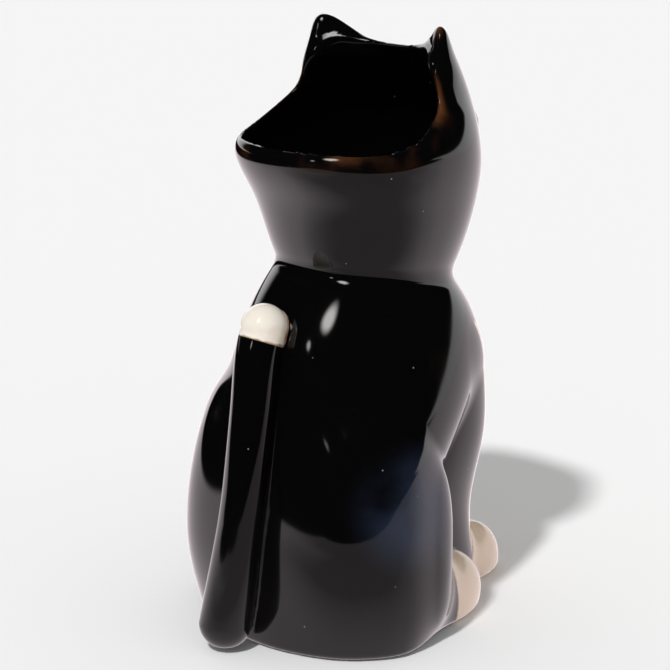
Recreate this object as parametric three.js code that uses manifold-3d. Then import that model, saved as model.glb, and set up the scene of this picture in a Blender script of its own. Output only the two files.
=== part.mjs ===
// A seated cat vase in glazed earthenware, made of the clay pieces that a potter lutes together.
// Millimetres, +Z up. The cat faces -Y, its left side is +X, and it stands on Z = 0.

import * as THREE from "three";
import { mergeVertices } from "three/addons/utils/BufferGeometryUtils.js";
import Module from "manifold-3d";

const wasm = await Module();
wasm.setup();

// Clay walls and the slip line left between neighbouring pieces
const WALL = 5;
const BASE_THICKNESS = 7;
const LUTE_GAP = 0.3;

// How square a level section is: 2 is an ellipse
const SQUARENESS = 2.15;

// Torso levels, as shares of the height of the neck, with reaches measured from the vertical axis
const BASE_HALF_WIDTH = 53;
const BASE_AHEAD = 36;
const BASE_BEHIND = 52.5;
const BELLY_SHARE = 0.303;
const BELLY_AHEAD = 29;
const BELLY_BEHIND = 51;
const LOIN_SHARE = 0.438;
const LOIN_AHEAD = 33;
const LOIN_BEHIND = 48;
const WAIST_SHARE = 0.5725;
const WAIST_SWELL_WIDTH = 1;
const WAIST_AHEAD = 45;
const WAIST_BEHIND = 44.5;
const SHOULDER_SHARE = 0.707;
const SHOULDER_HALF_WIDTH = 50.5;
const SHOULDER_AHEAD = 61;
const SHOULDER_BEHIND = 40;
const CHEST_SHARE = 0.875;
const CHEST_HALF_WIDTH = 43;
const CHEST_AHEAD = 65;
const CHEST_BEHIND = 31.5;
const NECK_HEIGHT = 148.5;
const NECK_HALF_WIDTH = 36.5;
const NECK_AHEAD = 53.7;
const NECK_BEHIND = 19.3;
const NECK_SLOPE = 0.12;

// Head levels, as shares of the way from the neck to the ear tips
const HEAD_HEIGHT = 103;
const CHEEK_SHARE = 0.306;
const CHEEK_HALF_WIDTH = 46;
const CHEEK_AHEAD = 62.5;
const CHEEK_BEHIND = 28;
const BROW_SHARE = 0.5;
const BROW_HALF_WIDTH = 49.5;
const BROW_AHEAD = 62.5;
const BROW_BEHIND = 36.5;
const CROWN_SHARE = 0.7135;
const CROWN_HALF_WIDTH = 43;
const CROWN_AHEAD = 56;
const CROWN_BEHIND = 30;
const FOREHEAD_SHARE = 0.888;
const FOREHEAD_HALF_WIDTH = 38;
const FOREHEAD_AHEAD = 38.5;
const FOREHEAD_BEHIND = 24;
const TOP_HALF_WIDTH = 35;
const TOP_AHEAD = 27;
const TOP_BEHIND = 20;

// Mouth of the vase: low and level behind, rising past the ears to the forehead
const RIM_SHARE = 0.5485;
const RIM_LEVEL_ANGLE = 118;
const RIM_RISE_SHARE = 0.6437;
const RIM_RISE_ANGLE = 93;
const EAR_ROOT_SHARE = 0.743;
const EAR_BACK_ANGLE = 82;
const EAR_FRONT_ANGLE = 42;
const LIP_DROP = 1.7;

// Ears: thick rounded points set across the corners of the head. Their sizes are those at the root.
const EAR_TIP_OUT = 32.6;
const EAR_TIP_AHEAD = 24.8;
const EAR_FORM_HEIGHT = 30;
const EAR_HALF_WIDTH = 19.2;
const EAR_HALF_THICKNESS = 12.3;
const EAR_LEAN_AHEAD = 15;
const EAR_LEAN_IN = 3;
const EAR_TIP_INSIDE = -13.75;
const EAR_ROOT_INSIDE = 1.25;
const EAR_TURN = 45;
const EAR_TIP_START = 0.004;
const EAR_SEAT_REACH = 22;

// Haunches, seated on the sides of the belly
const HAUNCH_ANGLE = 91;
const HAUNCH_SWELL_DEPTH = 8.9;
const HAUNCH_HALF_LENGTH = 36;
const HAUNCH_HALF_THICKNESS = 24;
const HAUNCH_UP = 55;
const HAUNCH_DOWN = 38;
const HAUNCH_HEIGHT = 37;

// Hind feet, black behind the paw line and white ahead of it
const HIND_FOOT_ANGLE = 54;
const HIND_FOOT_INSET = 6.9;
const HIND_FOOT_HALF_LENGTH = 31;
const HIND_FOOT_HALF_WIDTH = 15;
const HIND_FOOT_HALF_HEIGHT = 22;
const HIND_FOOT_LIFT = 8;
const HIND_PAW_LENGTH = 28;

// Forelegs, from the shoulder to the ankle. Their middles lie ahead of the torso level named, or behind it.
const LEG_SHOULDER_OUT = 26.5;
const LEG_SHOULDER_SINK = 21.9;
const LEG_SHOULDER_RADIUS = 17;
const LEG_SHOULDER_CAP = 26;
const LEG_ELBOW_SHARE = 0.505;
const LEG_ELBOW_OUT = 26;
const LEG_ELBOW_SINK = 2.6;
const LEG_SHIN_SHARE = 0.27;
const LEG_SHIN_OUT = 19.2;
const LEG_SHIN_AHEAD = 15;
const LEG_FOOT_OUT = 18.3;
const LEG_FOOT_AHEAD = 13;
const LEG_FOOT_RADIUS = 14;
const LEG_TOP_FLAT = 0.01;
const ANKLE_HEIGHT = 14;

// Front paws, below and ahead of the ankles
const FORE_PAW_HALF_LENGTH = 23;
const FORE_PAW_HALF_WIDTH = 11.5;
const FORE_PAW_HALF_HEIGHT = 20;
const FORE_PAW_LIFT = 5;
const FORE_PAW_AHEAD = 14;
const FORE_PAW_INSET = 3;

// Tail, laid into the back and bowed a little to the cat's right
const TAIL_RADIUS = 10;
const TAIL_ROOT_RADIUS = 11;
const TAIL_ROOT_LENGTH = 50;
const TAIL_SINK = 5;
const TAIL_ROOT_OFFSET = 8.5;
const TAIL_TIP_SINK = 2.2;
const TAIL_BOW = 2.5;
const TAIL_TIP_SHARE = 0.9025;
const TAIL_TIP_LENGTH = 8;
const ROUND_END_TURN = 84;

// Face, in low relief on the front of the head
const MUZZLE_SHARE = 0.345;
const MUZZLE_HALF_WIDTH = 20;
const MUZZLE_HALF_HEIGHT = 13;
const MUZZLE_HALF_DEPTH = 13;
const MUZZLE_RELIEF_DEPTH = 8;
const NOSE_HALF_WIDTH = 5.5;
const NOSE_HALF_HEIGHT = 4;
const NOSE_HALF_DEPTH = 5;
const NOSE_RELIEF_DEPTH = 2.5;
const EYE_SHARE = 0.5775;
const EYE_ANGLE = 27;
const EYE_HALF_WIDTH = 8.5;
const EYE_HALF_HEIGHT = 6;
const EYE_HALF_DEPTH = 5;
const EYE_RELIEF_DEPTH = 2.5;

// Facets
const TORSO_SIDES = 48;
const TORSO_BANDS = 15;
const BOWL_BANDS = 9;
const LIMB_SIDES = 14;
const LEG_BANDS = 14;
const TAIL_BANDS = 16;
const END_BANDS = 4;
const BALL_SIDES = 20;
const BALL_ROWS = 12;
const FOREHEAD_COLUMNS = 3;
const EAR_COLUMNS = 10;
const RIM_RISE_COLUMNS = 5;
const RIM_BACK_COLUMNS = 6;
const EAR_BANDS = 8;
const EAR_SIDES = 20;

const radians = THREE.MathUtils.degToRad;
const mix = THREE.MathUtils.lerp;

// Heights worked out from the neck and the head
const torsoHeight = (share) => NECK_HEIGHT * share;
const headHeight = (share) => NECK_HEIGHT + HEAD_HEIGHT * share;
const shoulderHeight = torsoHeight(SHOULDER_SHARE);
const rimBackHeight = headHeight(RIM_SHARE);
const foreheadHeight = headHeight(FOREHEAD_SHARE);
const muzzleHeight = headHeight(MUZZLE_SHARE);
const earTipHeight = headHeight(1);

// A place by how far it lies ahead of the axis, to the cat's left and up
function place(ahead, left, up) {
  return new THREE.Vector3(left, -ahead, up);
}

// Stations for a level: half width, half depth and the centre's distance ahead of the axis
function level(height, halfWidth, ahead, behind) {
  return { height, halfWidth, halfDepth: (ahead + behind) / 2, centre: (ahead - behind) / 2 };
}

const neckLevel = level(NECK_HEIGHT, NECK_HALF_WIDTH, NECK_AHEAD, NECK_BEHIND);

const torsoLevels = [
  level(0, BASE_HALF_WIDTH, BASE_AHEAD, BASE_BEHIND),
  level(torsoHeight(BELLY_SHARE), BASE_HALF_WIDTH, BELLY_AHEAD, BELLY_BEHIND),
  level(torsoHeight(LOIN_SHARE), BASE_HALF_WIDTH, LOIN_AHEAD, LOIN_BEHIND),
  level(torsoHeight(WAIST_SHARE), BASE_HALF_WIDTH + WAIST_SWELL_WIDTH, WAIST_AHEAD, WAIST_BEHIND),
  level(shoulderHeight, SHOULDER_HALF_WIDTH, SHOULDER_AHEAD, SHOULDER_BEHIND),
  level(torsoHeight(CHEST_SHARE), CHEST_HALF_WIDTH, CHEST_AHEAD, CHEST_BEHIND),
  neckLevel,
];

const headLevels = [
  neckLevel,
  level(headHeight(CHEEK_SHARE), CHEEK_HALF_WIDTH, CHEEK_AHEAD, CHEEK_BEHIND),
  level(headHeight(BROW_SHARE), BROW_HALF_WIDTH, BROW_AHEAD, BROW_BEHIND),
  level(headHeight(CROWN_SHARE), CROWN_HALF_WIDTH, CROWN_AHEAD, CROWN_BEHIND),
  level(foreheadHeight, FOREHEAD_HALF_WIDTH, FOREHEAD_AHEAD, FOREHEAD_BEHIND),
  level(earTipHeight, TOP_HALF_WIDTH, TOP_AHEAD, TOP_BEHIND),
];

// One measure of the stations at a place along them, by a cubic that takes each slope from the neighbours
function between(stations, along, measure, where) {
  const last = stations.length - 1;
  let start = 0;
  while (start < last - 1 && where > stations[start + 1][along]) {
    start += 1;
  }
  const slopeAt = (i) => {
    const before = stations[Math.max(i - 1, 0)];
    const after = stations[Math.min(i + 1, last)];
    return (after[measure] - before[measure]) / (after[along] - before[along]);
  };
  const from = stations[start];
  const to = stations[start + 1];
  const span = to[along] - from[along];
  const t = (where - from[along]) / span;
  const rest = 1 - t;
  return (
    from[measure] * (1 + 2 * t) * rest * rest +
    to[measure] * (3 - 2 * t) * t * t +
    slopeAt(start) * span * t * rest * rest -
    slopeAt(start + 1) * span * t * t * rest
  );
}

function rounded(value) {
  return Math.sign(value) * Math.abs(value) ** (2 / SQUARENESS);
}

// A point on a level section. The levels dip towards the front by the slope that is given.
function sectionPoint(levels, slope, angle, height, grow) {
  const width = between(levels, "height", "halfWidth", height) + grow;
  const depth = between(levels, "height", "halfDepth", height) + grow;
  const centre = between(levels, "height", "centre", height);
  const fromCentre = depth * rounded(Math.cos(angle));
  return place(centre + fromCentre, width * rounded(Math.sin(angle)), height - slope * fromCentre);
}

function torsoPoint(angle, height, grow = 0) {
  const share = Math.max(height, 0) / NECK_HEIGHT;
  return sectionPoint(torsoLevels, NECK_SLOPE * share ** 2, angle, height, grow);
}

function headPoint(angle, height, grow = 0) {
  const share = Math.max((rimBackHeight - height) / (rimBackHeight - NECK_HEIGHT), 0);
  return sectionPoint(headLevels, NECK_SLOPE * share ** 2, angle, height, grow);
}

// The rim of the head bowl, by the angle from straight ahead. The ears stand on its front part.
const rimStations = [
  { angle: 0, height: foreheadHeight },
  { angle: radians(EAR_FRONT_ANGLE), height: foreheadHeight },
  { angle: radians(EAR_BACK_ANGLE), height: headHeight(EAR_ROOT_SHARE) },
  { angle: radians(RIM_RISE_ANGLE), height: headHeight(RIM_RISE_SHARE) },
  { angle: radians(RIM_LEVEL_ANGLE), height: rimBackHeight },
  { angle: Math.PI, height: rimBackHeight },
];

function rimHeight(angle) {
  const fromAhead = Math.abs(Math.atan2(Math.sin(angle), Math.cos(angle)));
  return between(rimStations, "angle", "height", fromAhead);
}

function ringOf(sides, point) {
  return Array.from({ length: sides }, (_, i) => point((i * 2 * Math.PI) / sides));
}

function spread(from, to, steps) {
  return Array.from({ length: steps + 1 }, (_, i) => mix(from, to, i / steps));
}

// Skins a row of rings of equal count. A looped row joins its last ring to its first; others are capped.
function skin(rings, looped = false) {
  const sides = rings[0].length;
  const points = rings.flat();
  const faces = [];
  const bands = looped ? rings.length : rings.length - 1;
  for (let band = 0; band < bands; band += 1) {
    const near = band * sides;
    const far = ((band + 1) % rings.length) * sides;
    for (let i = 0; i < sides; i += 1) {
      const next = (i + 1) % sides;
      faces.push(near + i, near + next, far + next, near + i, far + next, far + i);
    }
  }
  if (!looped) {
    const lastRing = (rings.length - 1) * sides;
    const caps = [rings[0], rings[rings.length - 1]].map((ring) => {
      const middle = new THREE.Vector3();
      ring.forEach((point) => middle.addScaledVector(point, 1 / sides));
      points.push(middle);
      return points.length - 1;
    });
    for (let i = 0; i < sides; i += 1) {
      const next = (i + 1) % sides;
      faces.push(caps[0], next, i, caps[1], lastRing + i, lastRing + next);
    }
  }
  const geometry = new THREE.BufferGeometry().setFromPoints(points);
  geometry.setIndex(faces);
  return geometry;
}

function solid(geometry) {
  const bare = geometry.clone();
  bare.deleteAttribute("normal");
  bare.deleteAttribute("uv");
  const merged = mergeVertices(bare);
  const vertProperties = new Float32Array(merged.attributes.position.array);
  const triVerts = new Uint32Array(merged.index.array);
  return new wasm.Manifold(new wasm.Mesh({ numProp: 3, vertProperties, triVerts }));
}

function surface(body) {
  const mesh = body.getMesh();
  const geometry = new THREE.BufferGeometry();
  geometry.setAttribute("position", new THREE.BufferAttribute(mesh.vertProperties, 3));
  geometry.setIndex(new THREE.BufferAttribute(mesh.triVerts, 1));
  return geometry;
}

function cutBy(body, ...tools) {
  return tools.reduce((rest, tool) => rest.subtract(tool), body);
}

// A ball stretched to three half sizes: along the cat, across it and up. A turn is about the vertical.
// Below its middle it may reach down by another size than up.
function ball(centre, along, across, up, grow = 0, turn = 0, down = up) {
  const geometry = new THREE.SphereGeometry(1, BALL_SIDES, BALL_ROWS);
  geometry.rotateX(Math.PI / 2);
  geometry.scale(across + grow, along + grow, 1);
  const points = geometry.attributes.position;
  for (let i = 0; i < points.count; i += 1) {
    const height = points.getZ(i);
    points.setZ(i, height * ((height > 0 ? up : down) + grow));
  }
  geometry.rotateZ(turn);
  geometry.translate(centre.x, centre.y, centre.z);
  return solid(geometry);
}

function mirrored(geometry) {
  const copy = geometry.clone();
  copy.scale(-1, 1, 1);
  const index = copy.index.array;
  for (let i = 0; i < index.length; i += 3) {
    [index[i + 1], index[i + 2]] = [index[i + 2], index[i + 1]];
  }
  return copy;
}

// Blocks that cut at the floor, at the cat's middle plane and ahead of or behind a line across it
const REACH = 4 * earTipHeight;

function block(x, y, z) {
  const geometry = new THREE.BoxGeometry(REACH, REACH, REACH);
  geometry.translate(x, y, z);
  return solid(geometry);
}

const belowFloor = block(0, 0, -REACH / 2);
const rightHalf = block(LUTE_GAP / 2 - REACH / 2, 0, 0);

// Torso: an open shell on a slab

const torsoBottom = BASE_THICKNESS + LUTE_GAP;
const torsoTop = NECK_HEIGHT - LUTE_GAP / 2;

function torsoRing(height, grow) {
  return ringOf(TORSO_SIDES, (angle) => torsoPoint(angle, height, grow));
}

function torsoRings(grow) {
  return spread(torsoBottom, torsoTop, TORSO_BANDS).map((height) => torsoRing(height, grow));
}

function torsoShell() {
  return skin([...torsoRings(0), ...torsoRings(-WALL).reverse()], true);
}

function baseSlab() {
  return skin([torsoRing(0, 0), torsoRing(BASE_THICKNESS, 0)]);
}

const torsoTool = solid(skin([torsoRing(0, LUTE_GAP), ...torsoRings(LUTE_GAP)]));

// Head: a bowl on the neck, with its rim cut low behind. Its columns line up with those of the ears.

const headBottom = NECK_HEIGHT + LUTE_GAP / 2;
const earAngles = spread(radians(EAR_FRONT_ANGLE), radians(EAR_BACK_ANGLE), EAR_COLUMNS);
const leftAngles = [
  ...spread(0, radians(EAR_FRONT_ANGLE), FOREHEAD_COLUMNS).slice(0, -1),
  ...earAngles,
  ...spread(radians(EAR_BACK_ANGLE), radians(RIM_LEVEL_ANGLE), RIM_RISE_COLUMNS).slice(1),
  ...spread(radians(RIM_LEVEL_ANGLE), Math.PI, RIM_BACK_COLUMNS).slice(1),
];
const rightAngles = leftAngles.slice(1, -1).map((angle) => 2 * Math.PI - angle);
const headAngles = [...leftAngles, ...rightAngles.reverse()];

function bowlRings(grow) {
  return spread(0, 1, BOWL_BANDS).map((share) => {
    return headAngles.map((angle) => {
      const height = mix(headBottom, rimHeight(angle) - LIP_DROP, share);
      return headPoint(angle, height, grow);
    });
  });
}

function headBowl() {
  const lip = headAngles.map((angle) => headPoint(angle, rimHeight(angle), -WALL / 2));
  return skin([...bowlRings(0), lip, ...bowlRings(-WALL).reverse()], true);
}

const headHeights = spread(headBottom, earTipHeight, BOWL_BANDS);
const headTool = solid(
  skin(headHeights.map((height) => headAngles.map((angle) => headPoint(angle, height, LUTE_GAP)))),
);

// Ears: rounded points that widen with the root of the drop from the tip, standing on the rim

function earRing(share) {
  const size = Math.sqrt(share);
  const turned = radians(EAR_TURN);
  const inside = mix(EAR_TIP_INSIDE, EAR_ROOT_INSIDE, share);
  return ringOf(EAR_SIDES, (turn) => {
    const out = Math.max(EAR_HALF_THICKNESS * size * Math.cos(turn) - EAR_LEAN_IN * share, inside);
    const along = EAR_LEAN_AHEAD * share - EAR_HALF_WIDTH * size * Math.sin(turn);
    const ahead = EAR_TIP_AHEAD + out * Math.cos(turned) + along * Math.sin(turned);
    const left = EAR_TIP_OUT + out * Math.sin(turned) - along * Math.cos(turned);
    return place(ahead, left, earTipHeight - EAR_FORM_HEIGHT * share);
  });
}

// All that lies below the crest of the rim, on both sides of the wall
function underRim() {
  const seat = (grow) => {
    return headAngles.map((angle) => headPoint(angle, rimHeight(angle), grow).add(place(0, 0, LUTE_GAP)));
  };
  const foot = headAngles.map((angle) => headPoint(angle, headBottom, EAR_SEAT_REACH));
  return solid(skin([foot, ...[EAR_SEAT_REACH, -WALL / 2, -EAR_SEAT_REACH].map(seat)]));
}

const earShares = spread(1, 0, EAR_BANDS).map((root) => Math.max(root * root, EAR_TIP_START));
const leftEar = cutBy(solid(skin(earShares.map(earRing))), underRim());

// Haunches and hind feet

function haunchBall(grow) {
  const seat = torsoPoint(radians(HAUNCH_ANGLE), HAUNCH_HEIGHT);
  const middle = seat.clone().setX(seat.x + HAUNCH_SWELL_DEPTH - HAUNCH_HALF_THICKNESS);
  return ball(middle, HAUNCH_HALF_LENGTH, HAUNCH_HALF_THICKNESS, HAUNCH_UP, grow, 0, HAUNCH_DOWN);
}

const footSeat = torsoPoint(radians(HIND_FOOT_ANGLE), HIND_FOOT_LIFT);
const footMiddle = footSeat.clone().setX(footSeat.x - HIND_FOOT_INSET);
const pawLine = footMiddle.y - HIND_FOOT_HALF_LENGTH + HIND_PAW_LENGTH;

function hindFoot(grow) {
  return ball(footMiddle, HIND_FOOT_HALF_LENGTH, HIND_FOOT_HALF_WIDTH, HIND_FOOT_HALF_HEIGHT, grow);
}

const aheadOfPawLine = block(0, pawLine - REACH / 2, 0);
const behindPawLine = block(0, pawLine - LUTE_GAP + REACH / 2, 0);

function haunch(grow) {
  return haunchBall(grow).add(cutBy(hindFoot(grow), aheadOfPawLine));
}

const leftHaunch = cutBy(haunch(0), torsoTool, belowFloor, rightHalf);

// Forelegs and front paws

const legStations = [
  { height: ANKLE_HEIGHT, out: LEG_FOOT_OUT, ahead: BASE_AHEAD + LEG_FOOT_AHEAD },
  { height: torsoHeight(LEG_SHIN_SHARE), out: LEG_SHIN_OUT, ahead: BELLY_AHEAD + LEG_SHIN_AHEAD },
  { height: torsoHeight(LEG_ELBOW_SHARE), out: LEG_ELBOW_OUT, ahead: WAIST_AHEAD - LEG_ELBOW_SINK },
  { height: shoulderHeight, out: LEG_SHOULDER_OUT, ahead: SHOULDER_AHEAD - LEG_SHOULDER_SINK },
];

// One ring of a leg. Over the shoulder its size falls away as a dome.
function legRing(share, grow) {
  const height = mix(ANKLE_HEIGHT - grow, shoulderHeight + LEG_SHOULDER_CAP + grow, share);
  const seat = Math.min(Math.max(height, ANKLE_HEIGHT), shoulderHeight);
  const climb = (seat - ANKLE_HEIGHT) / (shoulderHeight - ANKLE_HEIGHT);
  const over = Math.max(height - shoulderHeight, 0) / (LEG_SHOULDER_CAP + grow);
  const radius = mix(LEG_FOOT_RADIUS, LEG_SHOULDER_RADIUS, climb);
  const ahead = between(legStations, "height", "ahead", seat);
  const centre = place(ahead, between(legStations, "height", "out", seat), height);
  const size = (radius + grow) * Math.sqrt(Math.max(1 - over ** 2, LEG_TOP_FLAT));
  return ringOf(LIMB_SIDES, (turn) => {
    return centre.clone().add(place(size * Math.cos(turn), size * Math.sin(turn), 0));
  });
}

function leg(grow) {
  return solid(skin(spread(0, 1, LEG_BANDS).map((share) => legRing(share, grow))));
}

const leftLeg = cutBy(leg(0), torsoTool, haunch(LUTE_GAP), belowFloor, rightHalf);

const leftHindPaw = cutBy(
  hindFoot(0),
  behindPawLine,
  torsoTool,
  haunch(LUTE_GAP),
  leg(LUTE_GAP),
  belowFloor,
  rightHalf,
);

function forePaw() {
  const ankle = new THREE.Vector3();
  legRing(0, 0).forEach((point) => ankle.addScaledVector(point, 1 / LIMB_SIDES));
  const middle = place(-ankle.y + FORE_PAW_AHEAD, ankle.x - FORE_PAW_INSET, FORE_PAW_LIFT);
  return ball(middle, FORE_PAW_HALF_LENGTH, FORE_PAW_HALF_WIDTH, FORE_PAW_HALF_HEIGHT);
}

const leftForePaw = cutBy(
  forePaw(),
  torsoTool,
  leg(LUTE_GAP),
  haunch(LUTE_GAP),
  hindFoot(LUTE_GAP),
  belowFloor,
  rightHalf,
);

// Tail: a bowed tube from its rounded root on the floor to its white tip on the back

function tailCentre(share) {
  const height = mix(TAIL_ROOT_RADIUS, torsoHeight(TAIL_TIP_SHARE), share);
  const bow = TAIL_BOW * Math.sin(Math.PI * share);
  const back = torsoPoint(Math.PI, height);
  const ends = TAIL_ROOT_OFFSET * (1 - share) ** 4 + (TAIL_SINK - TAIL_TIP_SINK) * share ** 4;
  return place(-back.y - TAIL_RADIUS + TAIL_SINK - ends, -bow, height);
}

class TailLine extends THREE.Curve {
  getPoint(share, target = new THREE.Vector3()) {
    return target.copy(tailCentre(Math.min(Math.max(share, 0), 1)));
  }
}

const tailLine = new TailLine();
const tailLength = tailLine.getLength();

// One ring across the tail, pushed along it by a part of the radius for the round ends
function tailRing(share, scale, push) {
  const along = tailLine.getTangent(share);
  const across = new THREE.Vector3(1, 0, 0).addScaledVector(along, -along.x).normalize();
  const outward = new THREE.Vector3().crossVectors(along, across);
  const settle = Math.min((share * tailLength) / TAIL_ROOT_LENGTH, 1);
  const radius = mix(TAIL_ROOT_RADIUS, TAIL_RADIUS, settle);
  const centre = tailLine.getPoint(share).addScaledVector(along, push * radius);
  return ringOf(LIMB_SIDES, (turn) => {
    const point = centre.clone().addScaledVector(across, radius * scale * Math.cos(turn));
    return point.addScaledVector(outward, radius * scale * Math.sin(turn));
  });
}

function roundEnd(share, direction) {
  return spread(0, radians(ROUND_END_TURN), END_BANDS).map((turn) => {
    return tailRing(share, Math.cos(turn), direction * Math.sin(turn));
  });
}

const tipShare = 1 - TAIL_TIP_LENGTH / tailLength;

const tailBody = skin([
  ...roundEnd(0, -1).reverse(),
  ...spread(0, tipShare, TAIL_BANDS).slice(1).map((share) => tailRing(share, 1, 0)),
]);
const tipBody = skin([
  tailRing(tipShare, 1, LUTE_GAP / TAIL_RADIUS),
  ...spread(tipShare, 1, END_BANDS).slice(1).map((share) => tailRing(share, 1, 0)),
  ...roundEnd(1, 1).slice(1),
]);

const leftHaunchTool = haunch(LUTE_GAP);
const rightHaunchTool = solid(mirrored(surface(leftHaunchTool)));
const tail = cutBy(solid(tailBody), torsoTool, leftHaunchTool, rightHaunchTool, belowFloor);
const tailTip = cutBy(solid(tipBody), torsoTool, headTool);

// Face

function onHead(angle, height, proud, depth) {
  const outward = new THREE.Vector3(Math.sin(angle), -Math.cos(angle), 0);
  return headPoint(angle, height).addScaledVector(outward, proud - depth);
}

function muzzleBall(grow) {
  const middle = onHead(0, muzzleHeight, MUZZLE_RELIEF_DEPTH, MUZZLE_HALF_DEPTH);
  return ball(middle, MUZZLE_HALF_DEPTH, MUZZLE_HALF_WIDTH, MUZZLE_HALF_HEIGHT, grow);
}

function noseBall() {
  const tip = onHead(0, muzzleHeight, MUZZLE_RELIEF_DEPTH + NOSE_RELIEF_DEPTH, NOSE_HALF_DEPTH);
  const middle = tip.setZ(muzzleHeight + MUZZLE_HALF_HEIGHT / 2);
  return ball(middle, NOSE_HALF_DEPTH, NOSE_HALF_WIDTH, NOSE_HALF_HEIGHT);
}

function eyeBall() {
  const angle = radians(EYE_ANGLE);
  const middle = onHead(angle, headHeight(EYE_SHARE), EYE_RELIEF_DEPTH, EYE_HALF_DEPTH);
  return ball(middle, EYE_HALF_DEPTH, EYE_HALF_WIDTH, EYE_HALF_HEIGHT, 0, angle);
}

const muzzle = cutBy(muzzleBall(0), headTool);
const nose = cutBy(noseBall(), headTool, muzzleBall(LUTE_GAP));
const leftEye = cutBy(eyeBall(), headTool, muzzleBall(LUTE_GAP), rightHalf);

// Glazes

const blackGlaze = { color: 0x0d0c0e, roughness: 0.12, metalness: 0 };
const whiteGlaze = { color: 0xe4dccf, roughness: 0.2, metalness: 0 };
const bareClay = { color: 0xcdb89c, roughness: 0.75, metalness: 0 };
const noseGlaze = { color: 0xc08078, roughness: 0.25, metalness: 0 };
const eyeGlaze = { color: 0xb79a35, roughness: 0.15, metalness: 0 };

const cat = new THREE.Group();

function addPiece(name, geometry, glaze) {
  const mesh = new THREE.Mesh(geometry, new THREE.MeshStandardMaterial(glaze));
  mesh.name = name;
  cat.add(mesh);
}

function addPair(name, geometry, glaze) {
  addPiece(`left_${name}`, geometry, glaze);
  addPiece(`right_${name}`, mirrored(geometry), glaze);
}

addPiece("base_slab", baseSlab(), bareClay);
addPiece("torso_shell", torsoShell(), blackGlaze);
addPiece("head_bowl", headBowl(), blackGlaze);
addPair("ear", surface(leftEar), blackGlaze);
addPair("haunch", surface(leftHaunch), blackGlaze);
addPair("foreleg", surface(leftLeg), blackGlaze);
addPair("fore_paw", surface(leftForePaw), whiteGlaze);
addPair("hind_paw", surface(leftHindPaw), whiteGlaze);
addPiece("tail", surface(tail), blackGlaze);
addPiece("tail_tip", surface(tailTip), whiteGlaze);
addPiece("muzzle", surface(muzzle), whiteGlaze);
addPiece("nose", surface(nose), noseGlaze);
addPair("eye", surface(leftEye), eyeGlaze);

export default cat;
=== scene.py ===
# Looks of the cat vase: one smooth glazed body, shaped as a distance field and split into its pieces.
import math

import bpy
import numpy as np
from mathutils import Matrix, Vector


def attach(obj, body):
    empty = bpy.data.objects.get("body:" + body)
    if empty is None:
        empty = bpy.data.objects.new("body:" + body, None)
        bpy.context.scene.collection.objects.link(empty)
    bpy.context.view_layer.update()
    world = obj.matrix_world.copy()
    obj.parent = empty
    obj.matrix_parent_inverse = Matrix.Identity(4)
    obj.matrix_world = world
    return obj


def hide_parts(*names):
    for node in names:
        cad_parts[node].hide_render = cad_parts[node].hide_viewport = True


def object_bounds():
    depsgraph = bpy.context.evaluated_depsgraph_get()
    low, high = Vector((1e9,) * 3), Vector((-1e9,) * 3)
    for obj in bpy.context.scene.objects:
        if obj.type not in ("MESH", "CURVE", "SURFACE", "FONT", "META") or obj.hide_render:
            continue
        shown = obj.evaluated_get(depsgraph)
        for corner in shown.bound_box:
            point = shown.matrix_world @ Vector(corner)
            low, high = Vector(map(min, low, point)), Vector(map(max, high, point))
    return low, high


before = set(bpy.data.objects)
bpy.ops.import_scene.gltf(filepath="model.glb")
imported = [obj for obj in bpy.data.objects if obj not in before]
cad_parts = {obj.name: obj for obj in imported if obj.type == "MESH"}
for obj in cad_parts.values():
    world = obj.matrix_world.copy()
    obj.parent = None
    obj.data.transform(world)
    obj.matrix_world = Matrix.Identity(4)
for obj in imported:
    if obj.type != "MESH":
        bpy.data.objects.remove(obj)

cad_low, cad_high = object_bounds()

# Shapes are worked out in millimetres, in the frame's axes, and turned into metres when a mesh is made.
# The cat faces -Y, its left side is +X, and "ahead" is the distance along -Y.
MM = 0.001
CELL = 1.35

# Clay walls
WALL = 5.0
EAR_WALL = 4.4
EAR_WALL_RUN = (218.0, 246.0)
BASE_THICKNESS = 7.0
FOOT_ROUNDING = 3.0
HOLLOW_ROUNDING = 6.0

# Level sections of the body: height, half width, reach ahead and reach behind
SQUARENESS = 2.15
TOP_SQUARENESS = 2.7
TOP_SQUARE_RUN = (200.0, 242.0)
NECK_HEIGHT = 148.5
NECK_RADIUS = 35.2
NECK_CENTRE = 17.2
NECK_FILLET = 5.0
NECK_RUN_ON = 26.0
TORSO_END_RADIUS = 16.0
HEAD_START_RADIUS = 20.0
NECK_SLOPE = 0.12
RIM_HEIGHT = 205.0
TORSO_LEVELS = [
    (0.0, 53.0, 36.0, 52.5),
    (45.0, 53.0, 29.0, 51.0),
    (65.0, 53.0, 33.0, 48.0),
    (85.0, 54.0, 45.0, 44.5),
    (105.0, 50.5, 61.0, 40.0),
    (130.0, 43.0, 65.0, 31.5),
]
HEAD_LEVELS = [
    (180.0, 46.0, 62.5, 28.0),
    (200.0, 49.5, 62.5, 36.5),
    (222.0, 42.4, 55.2, 30.0),
    (240.0, 38.0, 38.5, 24.0),
    (251.5, 35.0, 27.0, 20.0),
    (264.0, 32.0, 18.0, 16.0),
]

# The edge of the head wall on one side, from straight behind past the ear to straight ahead:
# angle from straight ahead in degrees, and height
RIM_LINE = [
    (180.0, 205.0), (150.0, 205.0), (122.0, 205.3), (105.0, 209.0), (93.0, 214.8),
    (86.0, 219.3), (81.5, 225.0), (78.5, 231.5), (71.0, 237.0), (60.0, 239.2),
    (46.0, 239.6), (30.0, 240.0), (0.0, 240.0),
]
RIM_CENTRE_AHEAD = 13.0

# The lip rolls over further down the wall than across it.
# Its inner rounding is no more than the wall, and so leaves the outside as it is.
LIP_INSET = 3.2
LIP_DROP = 9.0
LIP_INNER_ROUNDING = 4.4

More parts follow.
